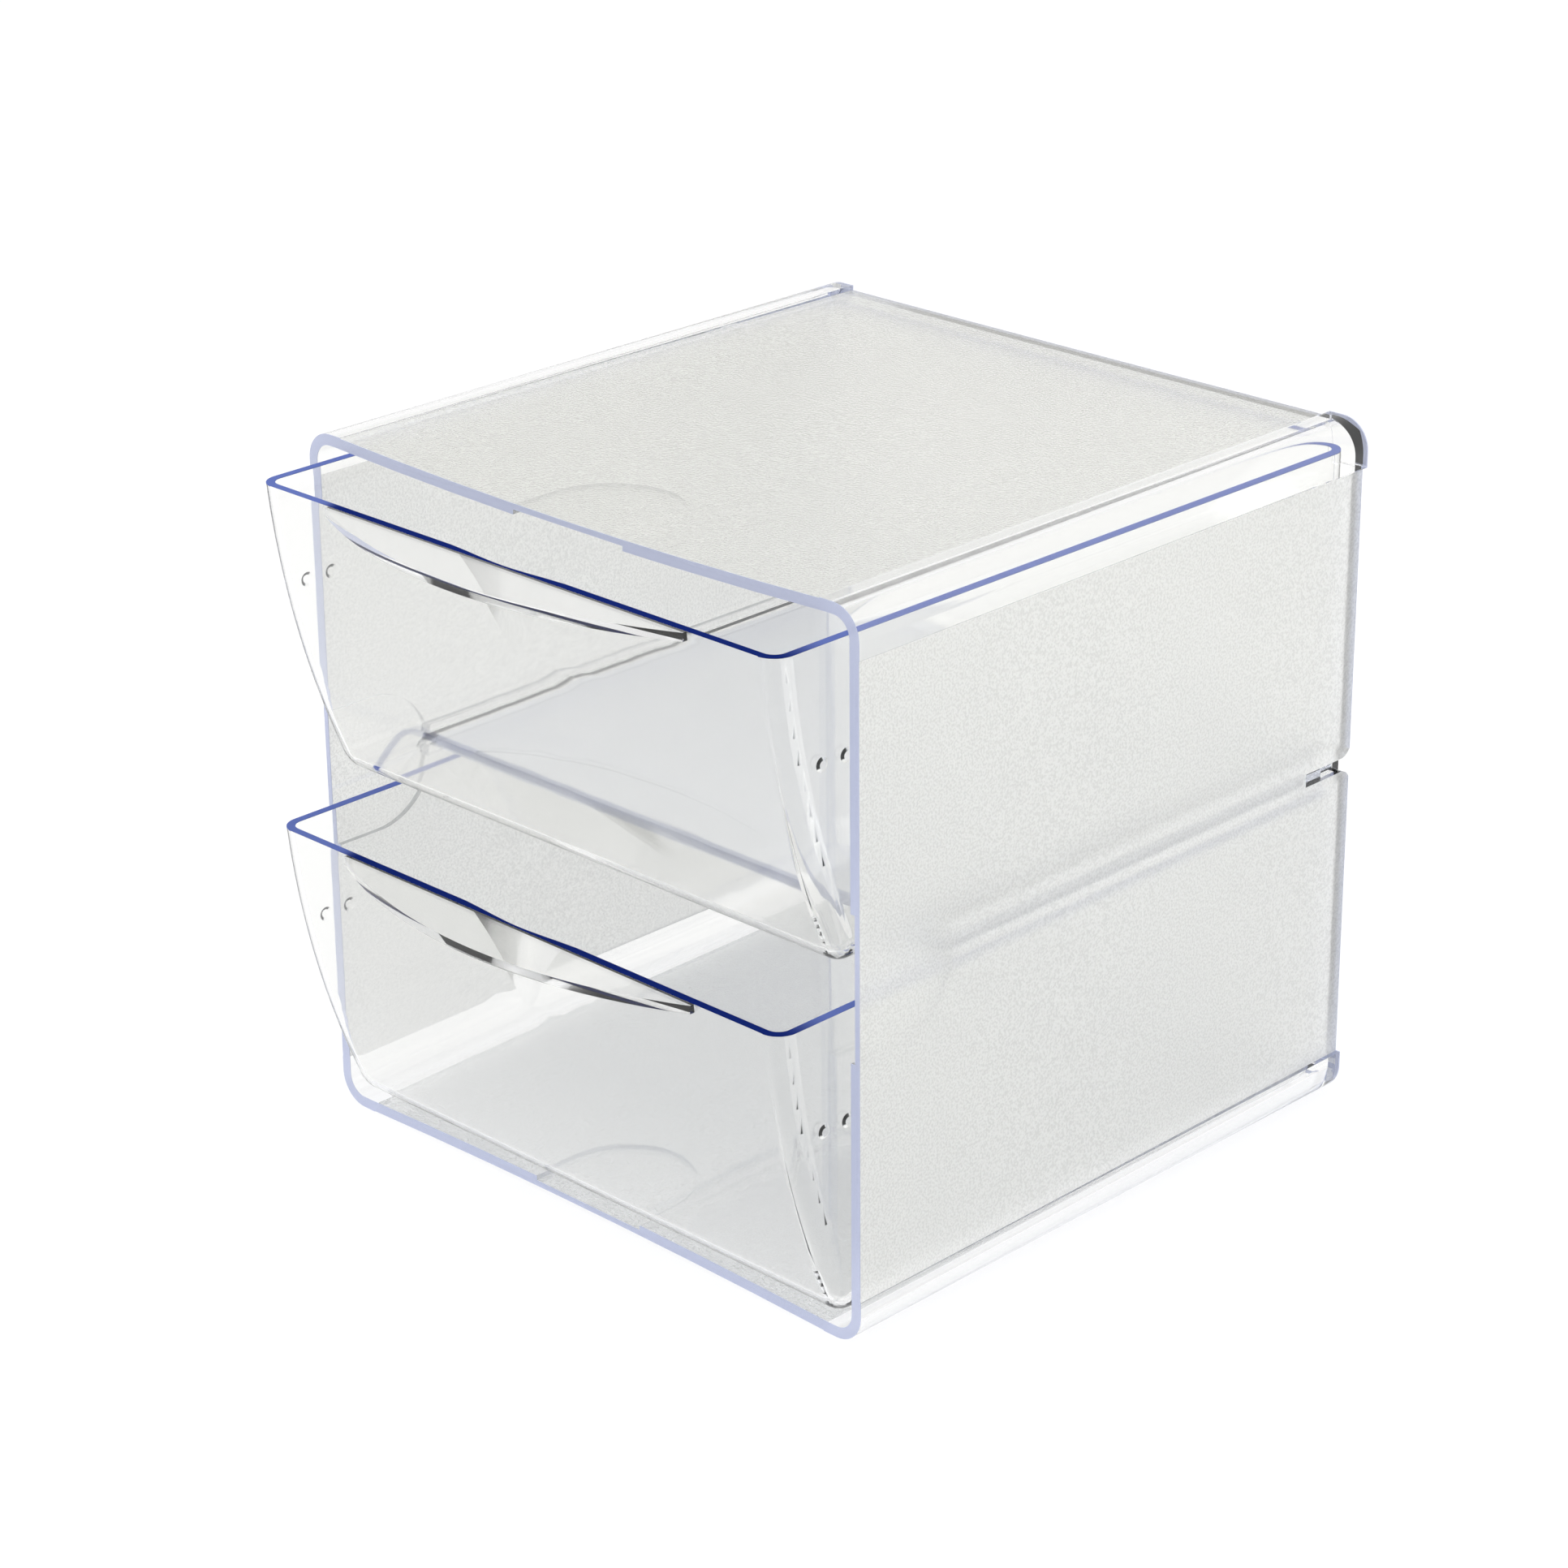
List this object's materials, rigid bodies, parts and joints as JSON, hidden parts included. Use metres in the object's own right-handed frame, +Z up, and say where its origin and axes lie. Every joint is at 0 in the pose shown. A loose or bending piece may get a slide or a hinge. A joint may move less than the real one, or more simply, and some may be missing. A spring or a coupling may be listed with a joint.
{
  "type": "two-drawer storage cube",
  "caption": "Clear open-fronted storage cube with a divider shelf and pull-out bins that have curved fronts and crescent pulls, for craft stamps and small parts.",
  "frame": {"origin": "on the floor, under the middle of the whole object with its drawers closed", "axes": "+Z up, -Y towards the front where the drawers pull out, +X to the right seen from the front"},
  "size_m": [0.1524, 0.1773, 0.1502],
  "materials": {
    "clear_casing": "clear polystyrene, fine pebble texture on the panels, polished corner rails",
    "clear_drawer": "clear polystyrene, polished"
  },
  "bodies": {
    "casing": {"casing": "clear_casing", "shelf": "clear_casing"},
    "upper_drawer": {"upper_drawer": "clear_drawer"},
    "lower_drawer": {"lower_drawer": "clear_drawer"}
  },
  "joints": [
    {"name": "upper_slide", "type": "slide", "parent": "casing", "child": "upper_drawer", "axis": [0, -1, 0], "range_m": [0, 0.12]},
    {"name": "lower_slide", "type": "slide", "parent": "casing", "child": "lower_drawer", "axis": [0, -1, 0], "range_m": [0, 0.12]}
  ]
}
